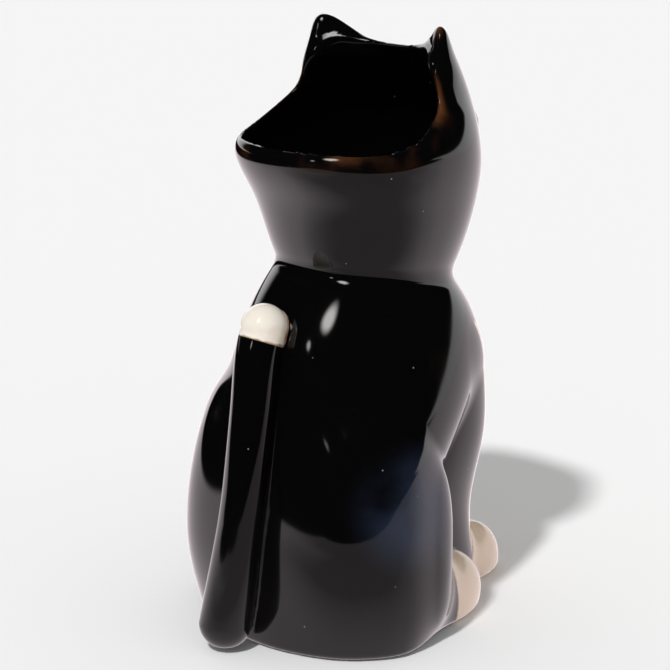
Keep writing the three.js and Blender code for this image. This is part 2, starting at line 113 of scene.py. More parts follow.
# Ears: solid round points on the wall, which leave the hollow clear below the height of their roots.
# Spread is how wide they grow from the tip down, over the root of the drop.
EAR_TIP = (32.6, 24.8, 251.4)
EAR_THICK_SPREAD = 2.25
EAR_WIDE_SPREAD = 3.5
EAR_LEAN = 0.5
EAR_LEAN_IN = 0.1
EAR_INSIDE = 2.0
EAR_INSIDE_ROUND = 38.0
EAR_INSIDE_BLEND = 8.0
EAR_REACH = 34.0
EAR_REACH_BLEND = 14.0
EAR_BLEND = 8.0
EAR_ROOT_HEIGHT = 232.0
EAR_ROOT_BLEND = 10.0

# Haunches and hind feet
HAUNCH_CENTRE = (37.9, -12.7, 37.0)
HAUNCH_TURN = 12.0
HAUNCH_SIZE = (22.6, 30.0, 53.0)
HAUNCH_SQUARENESS = 3.0
HAUNCH_SQUARE_RUN = (-18.0, 6.0)
HAUNCH_DOWN = 38.0
HAUNCH_REAR_BLEND = 22.0
HAUNCH_FRONT_BLEND = 3.5
HAUNCH_BLEND_RUN = (-20.0, 8.0)
HIND_FOOT_CENTRE = (36.6, 18.3, 8.0)
HIND_FOOT_SIZE = (15.0, 31.0, 22.0)
HIND_FOOT_BLEND = 14.0
HIND_PAW_LINE = 21.3
HIND_PAW_MARGIN = 2.5

# Forelegs: height, distance out and ahead of the middle of the leg, and its half width.
# They are longer along the cat than across it.
LEG_LEVELS = [
    (14.0, 18.3, 46.0, 12.5),
    (40.0, 19.2, 40.9, 13.2),
    (75.0, 26.0, 39.3, 14.2),
    (105.0, 26.5, 36.0, 15.2),
]
LEG_STRETCH = 1.5
SHOULDER_CAP = 26.0
LEG_BLEND = 4.0

# Front paws, which meet the leg along a slanting line
FORE_PAW_CENTRE = (15.4, 64.0, 5.0)
FORE_PAW_SIZE = (11.5, 23.0, 20.0)
FORE_PAW_BLEND = 4.0
FORE_PAW_LINE_AHEAD = 58.0
FORE_PAW_LINE_HEIGHT = 18.0
FORE_PAW_LINE_FACING = (0.9, 0.45)
FORE_PAW_MARGIN = 3.0

# Tail
TAIL_RADIUS = 9.6
TAIL_ROOT_RADIUS = 11.0
TAIL_ROOT_LENGTH = 44.0
TAIL_SINK = 5.0
TAIL_ROOT_BACK = 5.0
TAIL_ROOT_LEFT = 1.5
TAIL_ROOT_TURN = 4
TAIL_TIP_SINK = 1.0
TAIL_TIP_LEFT = 1.5
TAIL_BOW = 2.5
TAIL_TIP_HEIGHT = 132.0
TAIL_BLEND = 2.5
TAIL_TIP_LINE = 125.5
TAIL_TIP_SLANT = 0.42

# Face
MUZZLE_HEIGHT = 184.0
MUZZLE_AHEAD = 58.0
PAD_SIDE = 8.5
PAD_SIZE = (11.5, 12.5, 10.0)
CHIN_DROP = 9.0
CHIN_SIZE = (9.0, 9.5, 7.0)
MOUTH_BLEND = 1.0
MUZZLE_BLEND = 6.0
MUZZLE_MARGIN = 1.5
NOSE_CENTRE = (0.0, 68.0, 190.5)
NOSE_SIZE = (5.5, 5.0, 4.0)
NOSE_BLEND = 2.0
NOSE_MARGIN = 0.3

# Eyes: almonds between two arcs, with a raised lid round them and an upright pupil
EYE_ANGLE = 27.0
EYE_HEIGHT = 208.0
EYE_ARC = 9.6
EYE_ARC_OFFSET = 5.0
EYE_TILT = 12.0
EYE_BULGE = 1.0
LID_RAISE = 0.9
LID_WIDTH = 1.4
PUPIL_HALF_WIDTH = 2.4
PUPIL_HALF_HEIGHT = 4.6
PUPIL_EDGE = 0.2
FACE_AHEAD = 38.0

# The white front of the forelegs and chest
BIB_LEG_SHARE = 0.62
BIB_LEG_MARGIN = 3.0
BIB_HALF_WIDTH = 24.0
BIB_MIDDLE = 112.0
BIB_HALF_HEIGHT = 36.0

# The painted blue reflection on each haunch
REFLECTION_PATCH_CENTRE = np.array([57.0, 13.0, 62.0])

# The bare clay under the foot, and how deep the white and bare pieces go into the body
BARE_HEIGHT = 0.6
BARE_INSET = 4.0
SKIN_DEPTH = 3.0


# Curves through stations

def spline(stations, where):
    """A natural cubic curve through (place, value) stations, level beyond its ends."""
    x, y = (np.array(column, float) for column in zip(*stations))
    count = len(x)
    gap = np.diff(x)
    matrix = np.eye(count)
    right = np.zeros(count)
    for i in range(1, count - 1):
        matrix[i, i - 1:i + 2] = gap[i - 1], 2 * (gap[i - 1] + gap[i]), gap[i]
        right[i] = 6 * ((y[i + 1] - y[i]) / gap[i] - (y[i] - y[i - 1]) / gap[i - 1])
    bend = np.linalg.solve(matrix, right)
    where = np.clip(where, x[0], x[-1])
    i = np.clip(np.searchsorted(x, where) - 1, 0, count - 2)
    before = where - x[i]
    after = x[i + 1] - where
    span = gap[i]
    return (
        (bend[i] * after ** 3 + bend[i + 1] * before ** 3) / (6 * span)
        + (y[i] / span - bend[i] * span / 6) * after
        + (y[i + 1] / span - bend[i + 1] * span / 6) * before
    )


def mix(a, b, share):
    return a + (b - a) * share


def ease(low, high, value):
    share = np.clip((value - low) / (high - low), 0.0, 1.0)
    return share * share * (3.0 - 2.0 * share)


def blend_min(a, b, width):
    near = np.maximum(width - np.abs(a - b), 0.0) / width
    return np.minimum(a, b) - near * near * width / 4.0


def blend_max(a, b, width):
    return -blend_min(-a, -b, width)


def mirrored(p):
    """The points with those on the cat's right moved over to its left."""
    return np.stack([np.abs(p[:, 0]), p[:, 1], p[:, 2]], axis=1)


# Torso and head sections, tabled by height
heights = np.arange(0.0, HEAD_LEVELS[-1][0], 0.1)


def stations(levels, measure):
    """One measure of the level sections, by height."""
    return [(height, measure(*sizes)) for height, *sizes in levels]


def width_of(width, ahead, behind):
    return width


def depth_of(width, ahead, behind):
    return (ahead + behind) / 2


def centre_of(width, ahead, behind):
    return (ahead - behind) / 2


def joined_at_neck(measure):
    """A measure of the torso and the head, which run on past each other with a fillet between them."""
    neck = (NECK_HEIGHT, NECK_RADIUS)
    torso_end = (NECK_HEIGHT + NECK_RUN_ON, TORSO_END_RADIUS)
    head_start = (NECK_HEIGHT - NECK_RUN_ON, HEAD_START_RADIUS)
    torso = spline(stations(TORSO_LEVELS, measure) + [neck, torso_end], heights)
    head = spline([head_start, neck] + stations(HEAD_LEVELS, measure), heights)
    return blend_max(torso, head, NECK_FILLET)


half_width = joined_at_neck(width_of)
half_depth = joined_at_neck(depth_of)
centre_line = spline(
    stations(TORSO_LEVELS, centre_of) + [(NECK_HEIGHT, NECK_CENTRE)] + stations(HEAD_LEVELS, centre_of),
    heights,
)
wall_lean = np.gradient(half_depth, heights)
squareness = mix(SQUARENESS, TOP_SQUARENESS, ease(*TOP_SQUARE_RUN, heights))


def tilt(height):
    """How steeply the sections dip ahead: most at the neck, and level at the foot and the rim."""
    below = np.clip(height / NECK_HEIGHT, 0.0, 1.0)
    above = np.clip((RIM_HEIGHT - height) / (RIM_HEIGHT - NECK_HEIGHT), 0.0, 1.0)
    return NECK_SLOPE * np.where(height < NECK_HEIGHT, below, above) ** 2


def level_of(p):
    """The level of the dipping sections that each point lies on."""
    return p[:, 2] - tilt(p[:, 2]) * (p[:, 1] + np.interp(p[:, 2], heights, centre_line))


def body_field(p):
    """Distance from the outside of the torso and head, as one closed form without limbs."""
    level = level_of(p)
    off_centre = -p[:, 1] - np.interp(level, heights, centre_line)
    across = p[:, 0] / np.interp(level, heights, half_width)
    along = off_centre / np.interp(level, heights, half_depth)
    power = np.interp(level, heights, squareness)
    gauge = (np.abs(across) ** power + np.abs(along) ** power) ** (1 / power)
    reach = np.hypot(p[:, 0], off_centre)
    lean = np.interp(level, heights, wall_lean)
    return (reach - reach / np.maximum(gauge, 1e-6)) / np.sqrt(1.0 + lean * lean)


def section_point(angle, height):
    """Where the body's level section passes at an angle from straight ahead: (left, ahead)."""
    round_part = 2.0 / SQUARENESS
    width = np.interp(height, heights, half_width)
    depth = np.interp(height, heights, half_depth)
    centre = np.interp(height, heights, centre_line)
    left = width * np.sign(np.sin(angle)) * np.abs(np.sin(angle)) ** round_part
    ahead = centre + depth * np.sign(np.cos(angle)) * np.abs(np.cos(angle)) ** round_part
    return left, ahead


def ball_field(p, centre, size, power=2.0):
    """Near enough the distance from a ball stretched to three half sizes: across, along and up.

    A power above 2 makes it squarer.
    """
    offset = np.stack([p[:, 0] - centre[0], p[:, 1] + centre[1], p[:, 2] - centre[2]], axis=1)
    share = np.abs(offset) / np.array(size)
    scaled = np.maximum((share ** power).sum(axis=1, keepdims=True) ** (1.0 / power), 1e-9)
    steep = np.linalg.norm((share / scaled) ** (power - 1.0) / np.array(size), axis=1)
    return (scaled[:, 0] - 1.0) / steep


def haunch_field(p):
    """A stretched ball with its front turned out and squarer, and its lower half shorter."""
    turn = math.radians(HAUNCH_TURN)
    left = p[:, 0] - HAUNCH_CENTRE[0]
    back = p[:, 1] + HAUNCH_CENTRE[1]
    offset = np.stack([
        left * math.cos(turn) + back * math.sin(turn),
        back * math.cos(turn) - left * math.sin(turn),
        p[:, 2] - HAUNCH_CENTRE[2],
    ], axis=1)
    power = mix(2.0, HAUNCH_SQUARENESS, ease(*HAUNCH_SQUARE_RUN, -offset[:, 1]))[:, None]
    upper = ball_field(offset, (0.0, 0.0, 0.0), HAUNCH_SIZE, power)
    lower = ball_field(offset, (0.0, 0.0, 0.0), (*HAUNCH_SIZE[:2], HAUNCH_DOWN), power)
    return np.where(offset[:, 2] > 0, upper, lower)


# Forelegs, tabled by height
leg_top = LEG_LEVELS[-1][0]
leg_heights = np.arange(-10.0, leg_top + SHOULDER_CAP, 0.5)
leg_left, leg_ahead, leg_round = (
    spline([(row[0], row[column]) for row in LEG_LEVELS], leg_heights) for column in (1, 2, 3)
)
leg_over = np.clip((leg_heights - leg_top) / SHOULDER_CAP, 0.0, 1.0)
leg_size = leg_round * np.sqrt(1.0 - leg_over ** 2)


def leg_field(p):
    """Near enough the distance from the left foreleg."""
    left = np.interp(p[:, 2], leg_heights, leg_left)
    ahead = np.interp(p[:, 2], leg_heights, leg_ahead)
    size = np.interp(p[:, 2], leg_heights, leg_size)
    across = p[:, 0] - left
    along = (-p[:, 1] - ahead) / LEG_STRETCH
    reach = np.hypot(across, along)
    flat = (reach - size) * reach / np.maximum(np.hypot(across, along / LEG_STRETCH), 1e-6)
    above = np.maximum(p[:, 2] - leg_heights[-1], 0.0)
    return np.where(above > 0, np.hypot(np.maximum(flat, 0.0), above), flat)


# Tail, tabled by height
tail_height = np.linspace(TAIL_ROOT_RADIUS, TAIL_TIP_HEIGHT, 400)
tail_share = np.linspace(0.0, 1.0, len(tail_height))
tail_kick = (1 - tail_share) ** TAIL_ROOT_TURN
tail_rest = (TAIL_SINK - TAIL_TIP_SINK) * tail_share ** 4
tail_left = TAIL_ROOT_LEFT * tail_kick + TAIL_TIP_LEFT * tail_share
tail_left -= TAIL_BOW * np.sin(math.pi * tail_share)
tail_back = section_point(np.full(len(tail_height), math.pi), tail_height)[1]
tail_behind = TAIL_RADIUS - TAIL_SINK + TAIL_ROOT_BACK * tail_kick + tail_rest - tail_back
tail_lean = np.gradient(tail_behind, tail_height)
tail_narrow = ease(0.0, TAIL_ROOT_LENGTH, tail_height - TAIL_ROOT_RADIUS)
tail_size = mix(TAIL_ROOT_RADIUS, TAIL_RADIUS, tail_narrow)


def tail_field(p):
    """Near enough the distance from the tail, which is round in its level sections and at both ends."""
    height = np.clip(p[:, 2], tail_height[0], tail_height[-1])
    left, behind, size, lean = (
        np.interp(height, tail_height, table) for table in (tail_left, tail_behind, tail_size, tail_lean)
    )
    gap = np.sqrt((p[:, 0] - left) ** 2 + (p[:, 1] - behind) ** 2 + (p[:, 2] - height) ** 2)
    return (gap - size) / np.hypot(1.0, lean)


# Edge of the head wall, as a distance table over the unrolled wall
RIM_ARC = 46.0
RIM_STEP = 0.5
RIM_POINTS = 500
RIM_RUN_OUT = 20.0
rim_angles = np.arange(0.0, 180.0 + RIM_STEP, RIM_STEP)
rim_heights = np.arange(NECK_HEIGHT, HEAD_LEVELS[-1][0], RIM_STEP)


def rim_table():
    """Distance from the edge for each angle and height, positive beyond it."""
    marks = np.array(RIM_LINE)
    flat = np.stack([np.radians(marks[:, 0]) * RIM_ARC, marks[:, 1]], axis=1)
    along = np.concatenate([[0.0], np.cumsum(np.linalg.norm(np.diff(flat, axis=0), axis=1))])
    fine = np.linspace(0.0, along[-1], RIM_POINTS)
    line = np.stack([spline(list(zip(along, flat[:, i])), fine) for i in range(2)], axis=1)
    run_out = [RIM_RUN_OUT, 0.0]
    line = np.concatenate([line[:1] + run_out, line, line[-1:] - run_out])
    arc, up = np.meshgrid(np.radians(rim_angles) * RIM_ARC, rim_heights, indexing="ij")
    spots = np.stack([arc.ravel(), up.ravel()], axis=1)
    best = np.full(len(spots), np.inf)
    side = np.zeros(len(spots))
    for start, end in zip(line, line[1:]):
        run = end - start
        offset = spots - start
        share = np.clip(offset @ run / (run @ run), 0.0, 1.0)
        gap = np.linalg.norm(offset - share[:, None] * run, axis=1)
        closer = gap < best
        best[closer] = gap[closer]
        side[closer] = (run[1] * offset[:, 0] - run[0] * offset[:, 1])[closer]
    return (best * np.sign(side)).reshape(arc.shape)


rim_distance = rim_table()


def rim_field(p):
    """Distance beyond the edge of the head wall, measured along the wall."""
    turn = np.degrees(np.arctan2(np.abs(p[:, 0]), -p[:, 1] - RIM_CENTRE_AHEAD))
    column = np.clip(turn / RIM_STEP, 0, len(rim_angles) - 1.001)
    row = np.clip((p[:, 2] - rim_heights[0]) / RIM_STEP, 0, len(rim_heights) - 1.001)
    i = column.astype(int)
    j = row.astype(int)
    s = column - i
    t = row - j
    lower = mix(rim_distance[i, j], rim_distance[i + 1, j], s)
    upper = mix(rim_distance[i, j + 1], rim_distance[i + 1, j + 1], s)
    return mix(lower, upper, t)


def lip_field(outside, beyond):
    """The outside of the wall with its edge rolled over, further down the wall than across it."""
    across = np.maximum(outside + LIP_INSET, 0.0) / LIP_INSET
    along = np.maximum(beyond + LIP_DROP, 0.0) / LIP_DROP
    scaled = np.hypot(across, along)
    steep = np.hypot(across / LIP_INSET, along / LIP_DROP)
    rolled = scaled * (scaled - 1.0) / np.maximum(steep, 1e-9)
    return np.where((across > 0) & (along > 0), rolled, np.maximum(outside, beyond))


def ear_field(p):
    """Near enough the distance from the left ear, which runs across the corner of the head."""
    drop = EAR_TIP[2] - p[:, 2]
    outward = (p[:, 0] - p[:, 1] - EAR_TIP[0] - EAR_TIP[1]) * math.sqrt(0.5)
    along = (-p[:, 0] - p[:, 1] + EAR_TIP[0] - EAR_TIP[1]) * math.sqrt(0.5)
    out = outward + EAR_LEAN_IN * drop
    ahead = along - EAR_LEAN * drop
    bulge = (out / EAR_THICK_SPREAD) ** 2 + (ahead / EAR_WIDE_SPREAD) ** 2 - drop
    steep = np.sqrt(
        1.0 + (2 * out / EAR_THICK_SPREAD ** 2) ** 2 + (2 * ahead / EAR_WIDE_SPREAD ** 2) ** 2
    )
    inside = -EAR_INSIDE - along ** 2 / (2 * EAR_INSIDE_ROUND) - outward
    ear = blend_max(bulge / steep, inside / np.hypot(1.0, along / EAR_INSIDE_ROUND), EAR_INSIDE_BLEND)
    return blend_max(ear, drop - EAR_REACH, EAR_REACH_BLEND)


def muzzle_field(p):
    """Two pads over a chin."""
    pads = ball_field(mirrored(p), (PAD_SIDE, MUZZLE_AHEAD, MUZZLE_HEIGHT), PAD_SIZE)
    chin = ball_field(p, (0.0, MUZZLE_AHEAD, MUZZLE_HEIGHT - CHIN_DROP), CHIN_SIZE)
    return blend_min(pads, chin, MOUTH_BLEND)


eye_left, eye_ahead = section_point(math.radians(EYE_ANGLE), EYE_HEIGHT)


def eye_side(p):
    """How far each point is inside the outline of the eye in front of or behind it."""
    turn = math.radians(EYE_ANGLE)
    lift = math.radians(EYE_TILT)
    across = (np.abs(p[:, 0]) - eye_left) * math.cos(turn) + (p[:, 1] + eye_ahead) * math.sin(turn)
    up = p[:, 2] - EYE_HEIGHT
    long_way = across * math.cos(lift) + up * math.sin(lift)
    short_way = up * math.cos(lift) - across * math.sin(lift)
    almond = EYE_ARC - np.hypot(long_way, np.abs(short_way) + EYE_ARC_OFFSET)
    return np.minimum(almond, -p[:, 1] - FACE_AHEAD)


def eye_relief(p):
    """How far the eyes and their lids stand out."""
    almond = eye_side(p)
    lid = LID_RAISE * np.exp(-((almond + LID_WIDTH) / LID_WIDTH) ** 2)
    return lid + EYE_BULGE * ease(0.0, EYE_ARC - EYE_ARC_OFFSET, almond)


def vase_field(p):
    """Distance from the clay: negative in it, positive in the air and in the hollow."""
    body = body_field(p)
    side = mirrored(p)
    outside = blend_min(body, leg_field(side), LEG_BLEND)
    outside = blend_min(outside, ball_field(side, FORE_PAW_CENTRE, FORE_PAW_SIZE), FORE_PAW_BLEND)
    haunch = haunch_field(side)
    haunch = blend_min(haunch, ball_field(side, HIND_FOOT_CENTRE, HIND_FOOT_SIZE), HIND_FOOT_BLEND)
    haunch_blend = mix(HAUNCH_REAR_BLEND, HAUNCH_FRONT_BLEND, ease(*HAUNCH_BLEND_RUN, -p[:, 1]))
    outside = blend_min(outside, haunch, haunch_blend)
    outside = blend_min(outside, muzzle_field(p), MUZZLE_BLEND)
    outside = blend_min(outside, ball_field(p, NOSE_CENTRE, NOSE_SIZE), NOSE_BLEND) - eye_relief(p)
    outside = blend_min(outside, tail_field(p), TAIL_BLEND)
    outside = blend_max(outside, -p[:, 2], FOOT_ROUNDING)
    wall = mix(WALL, EAR_WALL, ease(*EAR_WALL_RUN, p[:, 2]))
    outside = lip_field(outside, rim_field(p))
    hollow = blend_max(body + wall, BASE_THICKNESS - p[:, 2], HOLLOW_ROUNDING)
    clay = blend_max(outside, -hollow, LIP_INNER_ROUNDING)
    clay = blend_min(clay, ear_field(side), EAR_BLEND)
    below_ears = blend_max(hollow, p[:, 2] - EAR_ROOT_HEIGHT, EAR_ROOT_BLEND)
    return blend_max(clay, -below_ears, LIP_INNER_ROUNDING)


# Meshing: one vertex in each cell that the surface crosses, then moved onto the surface
MESH_MARGIN = 6.0
LEAST_STEEP = 0.05
LONGEST_MOVE = 0.5 * CELL
RELAX_SHARE = 0.6
CUT_CLEARANCE = 0.02


def in_batches(field, points, size=200000):
    """The field at many points, worked out a batch at a time to save memory."""
    return np.concatenate([field(points[i:i + size]) for i in range(0, len(points), size)])


def gradient(field, points, step=0.25):
    slopes = []
    for axis in range(3):
        shift = np.zeros(3)
        shift[axis] = step
        rise = in_batches(field, points + shift) - in_batches(field, points - shift)
        slopes.append(rise / (2 * step))
    return np.stack(slopes, axis=1)


def unit(vectors):
    return vectors / np.maximum(np.linalg.norm(vectors, axis=1, keepdims=True), 1e-9)


def settle(field, points, rounds=2):
    """Moves points onto the field's zero surface."""
    for _ in range(rounds):
        slope = gradient(field, points)
        steep = np.maximum((slope ** 2).sum(axis=1), LEAST_STEEP)
        move = -(in_batches(field, points) / steep)[:, None] * slope
        length = np.linalg.norm(move, axis=1, keepdims=True)
        points = points + move * np.minimum(1.0, LONGEST_MOVE / np.maximum(length, 1e-9))
    return points


def edges_of(triangles):
    return np.concatenate([triangles[:, [0, 1]], triangles[:, [1, 2]], triangles[:, [2, 0]]])


def relax(field, points, triangles, rounds=3):
    """Evens out the spacing of the points, and keeps them on the field's zero surface."""
    edges = edges_of(triangles)
    here = np.concatenate([edges[:, 0], edges[:, 1]])
    there = np.concatenate([edges[:, 1], edges[:, 0]])
    count = np.bincount(here, minlength=len(points))
    for _ in range(rounds):
        total = [np.bincount(here, points[there, axis], len(points)) for axis in range(3)]
        middle = np.stack(total, axis=1) / count[:, None]
        points = settle(field, mix(points, middle, RELAX_SHARE))
    return points


def mesh_field(field, low, high, cell):
    """Points and triangles of the field's zero surface, facing out."""
    axes = [np.arange(a, b + cell, cell) for a, b in zip(low, high)]
    shape = tuple(len(a) for a in axes)
    spots = np.stack(np.meshgrid(*axes, indexing="ij"), axis=-1).reshape(-1, 3)
    value = in_batches(field, spots).reshape(shape)
    inside = value < 0
    corners = [(i, j, k) for i in (0, 1) for j in (0, 1) for k in (0, 1)]

    def corner(grid, c):
        return grid[tuple(slice(c[a], shape[a] - 1 + c[a]) for a in range(3))]

    filled = sum(corner(inside, c).astype(int) for c in corners)
    active = (filled > 0) & (filled < 8)
    cells = np.argwhere(active)
    total = np.zeros((len(cells), 3))
    count = np.zeros(len(cells))
    for axis in range(3):
        for c in corners:
            if c[axis]:
                continue
            other = tuple(1 if a == axis else c[a] for a in range(3))
            here = value[tuple((cells + c).T)]
            there = value[tuple((cells + other).T)]
            crossed = (here < 0) != (there < 0)
            share = np.where(crossed, here / np.where(crossed, here - there, 1.0), 0.0)
            spot = np.repeat(np.array([c], float), len(cells), axis=0)
            spot[:, axis] += share
            total += spot * crossed[:, None]
            count += crossed
    points = np.array(low) + cell * (cells + total / count[:, None])
    number = np.full(tuple(n - 1 for n in shape), -1)
    number[active] = np.arange(len(cells))
    triangles = []
    for axis in range(3):
        u, v = (axis + 1) % 3, (axis + 2) % 3
        first = [slice(None)] * 3
        first[axis] = slice(0, shape[axis] - 1)
        second = [slice(None)] * 3
        second[axis] = slice(1, shape[axis])
        start = inside[tuple(first)]
        end = inside[tuple(second)]
        for rising in (True, False):
            edges = np.argwhere(start & ~end if rising else ~start & end)
            quad = []
            for du, dv in ((-1, -1), (0, -1), (0, 0), (-1, 0)):
                spot = edges.copy()
                spot[:, u] += du
                spot[:, v] += dv
                quad.append(number[tuple(spot.T)])
            a, b, c, d = quad if rising else quad[::-1]
            triangles += [np.stack([a, b, c], axis=1), np.stack([a, c, d], axis=1)]
    return points, np.concatenate(triangles)


# Pieces: parts of the skin, cut along a line and given some depth

class Surface:
    """A closed surface. Its skin faces are shaded from the field, and its hidden faces as they lie."""

    def __init__(self, points, skin, hidden=None):
        self.points = points
        self.skin = skin
        self.hidden = np.zeros((0, 3), int) if hidden is None else hidden


def boundary(triangles):
    """The edges that only one of these triangles has, in its direction."""
    edges = edges_of(triangles)
    key = np.sort(edges, axis=1)
    _, first, count = np.unique(key, axis=0, return_index=True, return_counts=True)
    return edges[first[count == 1]]


def cut_skin(body, keep, field):
    """Divides the skin along keep = 0 and returns its points, the kept triangles and the rest."""
    points = body.points
    measure = in_batches(keep, points)
    measure = np.where(np.abs(measure) < CUT_CLEARANCE, CUT_CLEARANCE, measure)
    sides = measure[body.skin] > 0
    crossed = sides.any(axis=1) & ~sides.all(axis=1)
    kept = body.skin[sides.all(axis=1)]
    rest = body.skin[~sides.any(axis=1)]
    lone = sides[crossed].sum(axis=1) == 1
    turned = []
    for triangle, single in zip(body.skin[crossed], lone):
        above = measure[triangle] > 0
        at = int(np.argmax(above)) if single else int(np.argmin(above))
        turned.append(np.roll(triangle, -at))
    turned = np.array(turned).reshape(-1, 3)
    edges = np.concatenate([turned[:, [0, 1]], turned[:, [0, 2]]])
    key, place = np.unique(np.sort(edges, axis=1), axis=0, return_inverse=True)
    place = place.reshape(-1)
    a, b = measure[key[:, 0]], measure[key[:, 1]]
    share = (a / (a - b))[:, None]
    fresh = settle(field, mix(points[key[:, 0]], points[key[:, 1]], share))
    new = len(points) + place
    points = np.concatenate([points, fresh])
    half = len(turned)
    p, q = new[:half], new[half:]
    tip = np.stack([turned[:, 0], p, q], axis=1)
    stump = np.concatenate([
        np.stack([p, turned[:, 1], turned[:, 2]], axis=1),
        np.stack([p, turned[:, 2], q], axis=1),
    ])
    double = np.concatenate([lone, lone])
    kept = np.concatenate([kept, tip[lone], stump[~double]])
    rest = np.concatenate([rest, tip[~lone], stump[double]])
    return points, kept, rest


def take_skin(body, keep, field, depth):
    """Takes the part of the skin where keep is positive out of body, as a closed layer of that depth."""
    points, kept, rest = cut_skin(body, keep, field)
    used = np.unique(kept)
    inward = points[used] - depth * unit(gradient(field, points[used]))
    under = np.full(len(points), -1)
    under[used] = len(points) + np.arange(len(used))
    points = np.concatenate([points, inward])
    rim = boundary(kept)
    walls = np.concatenate([
        np.stack([rim[:, 1], rim[:, 0], under[rim[:, 0]]], axis=1),
        np.stack([rim[:, 1], under[rim[:, 0]], under[rim[:, 1]]], axis=1),
    ])
    back = np.concatenate([under[kept][:, ::-1], walls])
    body.points = points
    body.skin = rest
    body.hidden = np.concatenate([body.hidden, back[:, ::-1]])
    return Surface(points, kept, back)


def split_shell(body, keep, field):
    """Divides a shell in two across its wall, and closes both parts between its inner and outer lines.

    The other edges of the skin, where pieces were taken out, are already closed by hidden faces.
    """
    points, kept, rest = cut_skin(body, keep, field)
    rim = boundary(kept)
    rim = rim[np.abs(in_batches(keep, points[rim].mean(axis=1))) < CELL / 2]
    spots = points[rim[:, 0]]
    middle = spots.mean(axis=0)
    turn = np.arctan2(spots[:, 1] - middle[1], spots[:, 0] - middle[0])
    is_outer = in_batches(outside_side, spots) > 0
    loops = [rim[pick, 0][np.argsort(turn[pick])] for pick in (is_outer, ~is_outer)]
    turns = [np.sort(turn[pick]) for pick in (is_outer, ~is_outer)]
    sizes = [len(loop) for loop in loops]
    here = [0, 0]
    joint = []
    while here[0] < sizes[0] or here[1] < sizes[1]:
        ends = [turns[i][here[i] + 1] if here[i] + 1 < sizes[i] else math.inf for i in range(2)]
        step = 0 if here[1] >= sizes[1] or (here[0] < sizes[0] and ends[0] <= ends[1]) else 1
        a = loops[0][here[0] % sizes[0]]
        b = loops[1][here[1] % sizes[1]]
        ahead = loops[step][(here[step] + 1) % sizes[step]]
        joint.append((a, b, ahead))
        here[step] += 1
    joint = np.array(joint)
    corner = points[joint]
    facing = np.cross(corner[:, 1] - corner[:, 0], corner[:, 2] - corner[:, 0])[:, 2]
    down = np.where((facing > 0)[:, None], joint[:, ::-1], joint)
    is_upper = in_batches(keep, points[body.hidden].mean(axis=1)) > 0
    upper = Surface(points, kept, np.concatenate([body.hidden[is_upper], down]))
    lower = Surface(points, rest, np.concatenate([body.hidden[~is_upper], down[:, ::-1]]))
    return upper, lower


def make_object(name, surface, field, **marks):
    """An object of a surface, with the field's own normals and a value at each point for each mark."""
    faces = np.concatenate([surface.skin, surface.hidden])
    used, where = np.unique(faces, return_inverse=True)
    faces = where.reshape(faces.shape)
    points = surface.points[used]
    mesh = bpy.data.meshes.new(name)
    mesh.from_pydata((points * MM).tolist(), [], faces.tolist())
    mesh.shade_smooth()
    corners = unit(gradient(field, points))[faces.ravel()].reshape(-1, 3, 3)
    hidden = points[faces[len(surface.skin):]]
    flat = unit(np.cross(hidden[:, 1] - hidden[:, 0], hidden[:, 2] - hidden[:, 0]))
    corners[len(surface.skin):] = flat[:, None]
    mesh.normals_split_custom_set(corners.reshape(-1, 3).tolist())
    for mark, measure in marks.items():
        layer = mesh.attributes.new(mark, "FLOAT", "POINT")
        layer.data.foreach_set("value", measure(points).astype(np.float32))
    obj = bpy.data.objects.new(name, mesh)
    bpy.context.scene.collection.objects.link(obj)
    return obj


# Where one glaze meets another. Each is positive on its own piece, in millimetres.

def tail_tip_side(p):
    slant = TAIL_TIP_SLANT * (p[:, 1] - tail_behind[-1])
    return np.minimum(p[:, 2] - TAIL_TIP_LINE - slant, body_field(p) - tail_field(p))


def hind_paw_side(p):
    foot = ball_field(mirrored(p), HIND_FOOT_CENTRE, HIND_FOOT_SIZE)
    return np.minimum(-p[:, 1] - HIND_PAW_LINE, HIND_PAW_MARGIN - foot)


def fore_paw_side(p):
    paw = ball_field(mirrored(p), FORE_PAW_CENTRE, FORE_PAW_SIZE)
    ahead, down = FORE_PAW_LINE_FACING
    line = (-p[:, 1] - FORE_PAW_LINE_AHEAD) * ahead - (p[:, 2] - FORE_PAW_LINE_HEIGHT) * down
    return np.minimum(line, FORE_PAW_MARGIN - paw)


def muzzle_side(p):
    return MUZZLE_MARGIN - muzzle_field(p)


def nose_side(p):
    return NOSE_MARGIN - ball_field(p, NOSE_CENTRE, NOSE_SIZE)


def bib_side(p):
    """Positive on the white front of the forelegs and chest, which is painted on the torso."""
    leg_middle = np.interp(p[:, 2], leg_heights, leg_ahead)
    leg_half = np.interp(p[:, 2], leg_heights, leg_size) * LEG_STRETCH
    leg = -p[:, 1] - leg_middle - BIB_LEG_SHARE * leg_half
    leg = np.minimum(leg, BIB_LEG_MARGIN - leg_field(mirrored(p)))
    rise = (p[:, 2] - BIB_MIDDLE) / BIB_HALF_HEIGHT
    chest = np.minimum(BIB_HALF_WIDTH * (1.0 - rise ** 2) - np.abs(p[:, 0]), -p[:, 1] - FACE_AHEAD)
    return np.minimum(np.maximum(leg, chest), outside_side(p))


def bare_side(p):
    """Positive on the flat under the body, inside its edge."""
    flat = p.copy()
    flat[:, 2] = FOOT_ROUNDING
    return np.minimum(BARE_HEIGHT - p[:, 2], -BARE_INSET - in_batches(body_field, flat))


def outside_side(p):
    """Positive on the outside of the wall, and negative in the hollow."""
    return body_field(p) + WALL / 2


def haunch_reflection_spot(p):
    """Distance from the middle of the painted blue reflection on each haunch."""
    return np.linalg.norm(mirrored(p) - REFLECTION_PATCH_CENTRE, axis=1)


def outer(side, sign=0):
    """A side on the outside of the body only, and to the left or right if a sign is given."""
    def measure(p):
        reach = np.minimum(side(p), outside_side(p))
        return np.minimum(reach, sign * p[:, 0]) if sign else reach
    return measure


